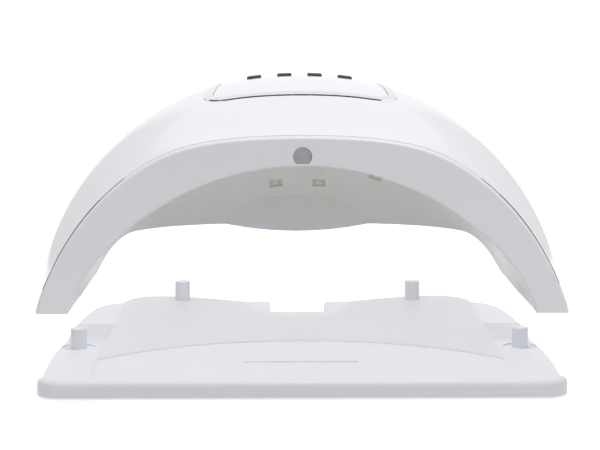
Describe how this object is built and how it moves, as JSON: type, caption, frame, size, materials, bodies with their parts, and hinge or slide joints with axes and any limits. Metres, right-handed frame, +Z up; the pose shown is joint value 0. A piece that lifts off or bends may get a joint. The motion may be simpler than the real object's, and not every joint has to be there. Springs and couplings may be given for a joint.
{
  "type": "nail lamp",
  "caption": "Arched curing lamp with timer buttons and display, lifted off the base tray that its four posts locate.",
  "frame": {"origin": "centre of the footprint on the table, under the tray's feet", "axes": "+X to the right seen from the hand opening, +Y to the rear, +Z up"},
  "size_m": [0.2348, 0.21, 0.1296],
  "materials": {
    "shell": "glossy moulded white",
    "housing": "satin white liner",
    "trim": "bright plated",
    "panel": "glossy white",
    "window": "smoked gloss",
    "button": "satin black",
    "black_plastic": "matte black",
    "board": "green lacquer",
    "strip": "white lacquer",
    "emitter": "yellow phosphor",
    "smoked": "grey filter",
    "steel": "plated",
    "brass": "plated pin",
    "pad_rubber": "matte rubber",
    "tray": "satin moulded white"
  },
  "bodies": {
    "lamp": {"outer_shell": "shell", "inner_housing": "housing", "trim_ring": "trim", "panel_plate": "panel", "display_window": "window", "control_board": "board", "display_module": "black_plastic", "tact_switches": "black_plastic", "board_screws": "steel", "driver_board": "board", "driver_parts": "black_plastic", "driver_screws": "steel", "sensor_window": "smoked", "sensor_board": "board", "inlet_socket": "black_plastic", "inlet_pin": "brass", "housing_screws": "steel", "lamp_magnets": "steel", "leg_pads": "pad_rubber", "led_strip_front": "strip", "led_emitters_front": "emitter", "led_strip_middle": "strip", "led_emitters_middle": "emitter", "led_strip_back": "strip", "led_emitters_back": "emitter", "led_strip_rear": "strip", "led_emitters_rear": "emitter"},
    "tray": {"base_tray": "tray", "tray_cover": "tray", "tray_magnets": "steel", "tray_screws": "steel", "tray_feet": "pad_rubber"},
    "button_10s": {"button_10s": "button"},
    "button_30s": {"button_30s": "button"},
    "button_60s": {"button_60s": "button"},
    "button_99s": {"button_99s": "button"}
  },
  "joints": [
    {"name": "tray_lift", "type": "slide", "parent": "lamp", "child": "tray", "axis": [0, 0, 1], "range_m": [0, 0.0318]},
    {"name": "button_10s_press", "type": "slide", "parent": "lamp", "child": "button_10s", "axis": [0.1272, 0, -0.9919], "range_m": [0, 0.0005], "stiffness_N_per_m": 400, "springref_m": -0.0005},
    {"name": "button_30s_press", "type": "slide", "parent": "lamp", "child": "button_30s", "axis": [0.036, 0, -0.9994], "range_m": [0, 0.0005], "stiffness_N_per_m": 400, "springref_m": -0.0005},
    {"name": "button_60s_press", "type": "slide", "parent": "lamp", "child": "button_60s", "axis": [-0.036, 0, -0.9994], "range_m": [0, 0.0005], "stiffness_N_per_m": 400, "springref_m": -0.0005},
    {"name": "button_99s_press", "type": "slide", "parent": "lamp", "child": "button_99s", "axis": [-0.1272, 0, -0.9919], "range_m": [0, 0.0005], "stiffness_N_per_m": 400, "springref_m": -0.0005}
  ]
}
